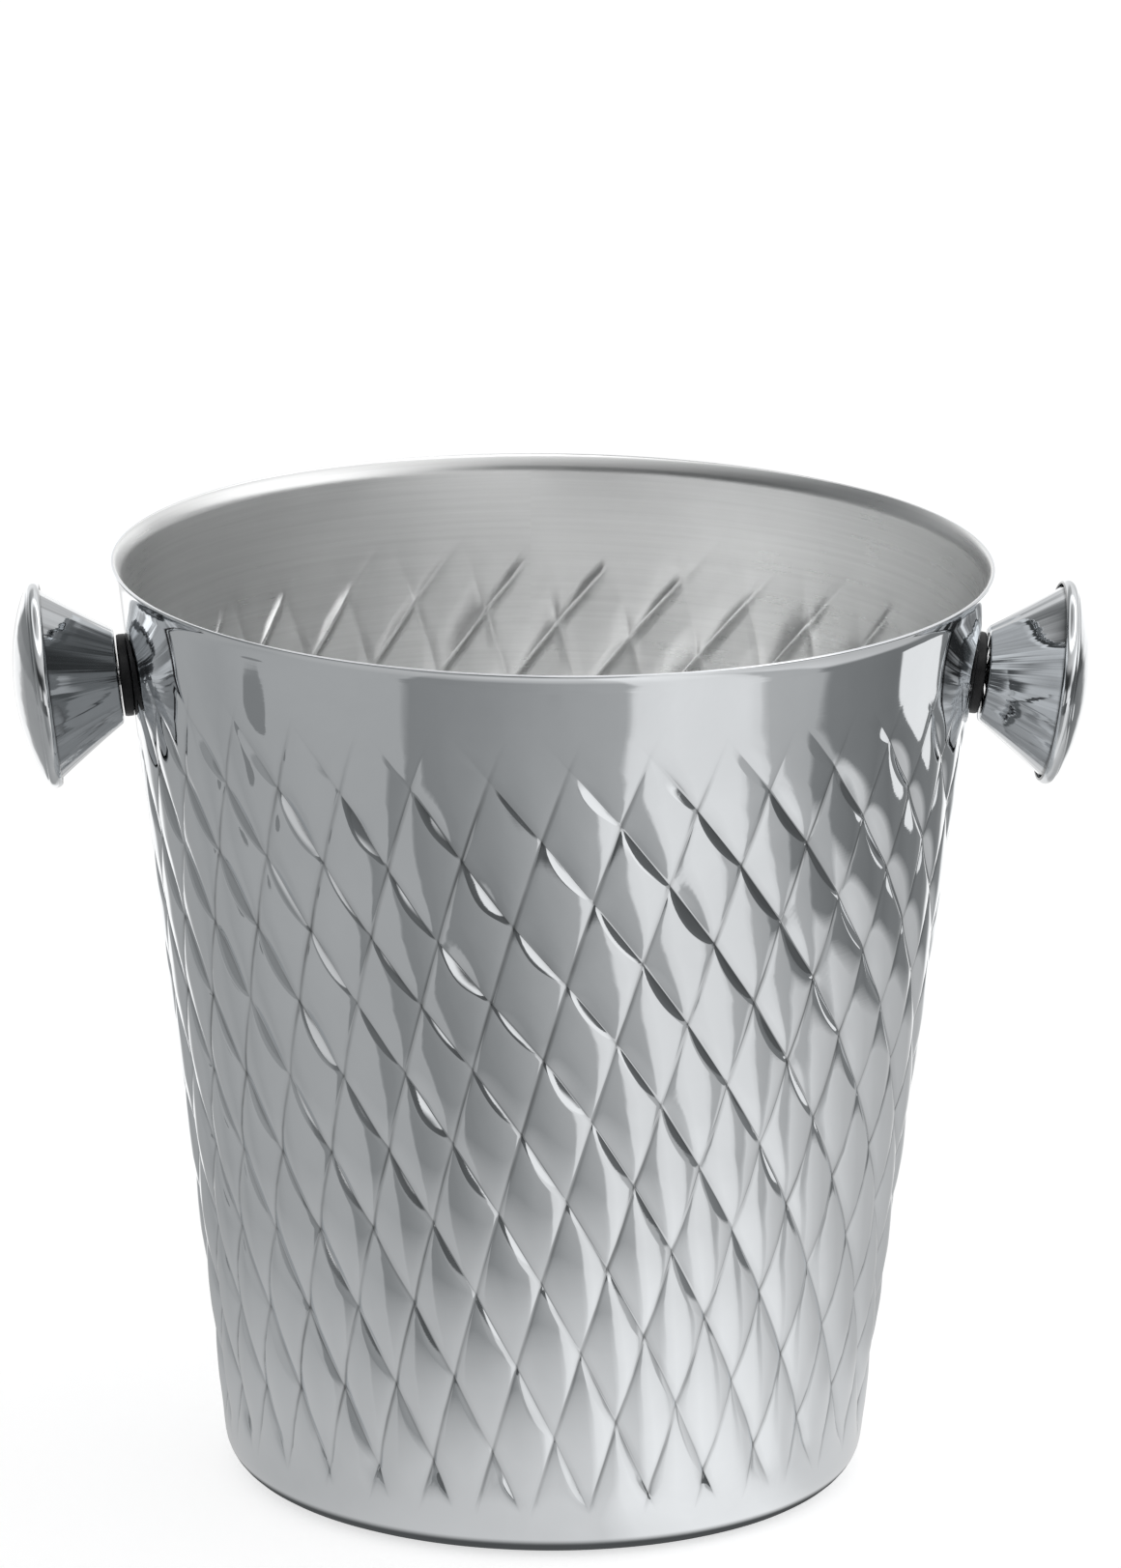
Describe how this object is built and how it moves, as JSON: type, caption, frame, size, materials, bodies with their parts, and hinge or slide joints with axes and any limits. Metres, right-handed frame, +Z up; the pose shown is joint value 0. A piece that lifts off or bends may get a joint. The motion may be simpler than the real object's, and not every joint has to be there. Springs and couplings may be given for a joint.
{
  "type": "champagne bucket",
  "caption": "Tapered free-standing champagne bucket of polished stainless steel, with an embossed diamond-lattice wall and flared knob handles screwed to opposite sides.",
  "frame": {"origin": "centre of the flat ring that the bucket stands on, at the height of the table", "axes": "+Z up to the mouth, +X through the right knob, -Y the front"},
  "size_m": [0.2686, 0.22, 0.235],
  "materials": {
    "bucket_steel": "polished outside, fine circumferential brushing inside",
    "knob_steel": "polished",
    "hardware_steel": "satin",
    "collar_rubber": "satin",
    "seal_rubber": "matte"
  },
  "bodies": {
    "root": {"bucket_body": "bucket_steel", "knob_collar_right": "collar_rubber", "knob_cone_right": "knob_steel", "knob_cap_right": "knob_steel", "knob_boss_right": "hardware_steel", "seal_washer_right": "seal_rubber", "flat_washer_right": "hardware_steel", "knob_screw_right": "hardware_steel", "knob_collar_left": "collar_rubber", "knob_cone_left": "knob_steel", "knob_cap_left": "knob_steel", "knob_boss_left": "hardware_steel", "seal_washer_left": "seal_rubber", "flat_washer_left": "hardware_steel", "knob_screw_left": "hardware_steel"}
  },
  "joints": []
}
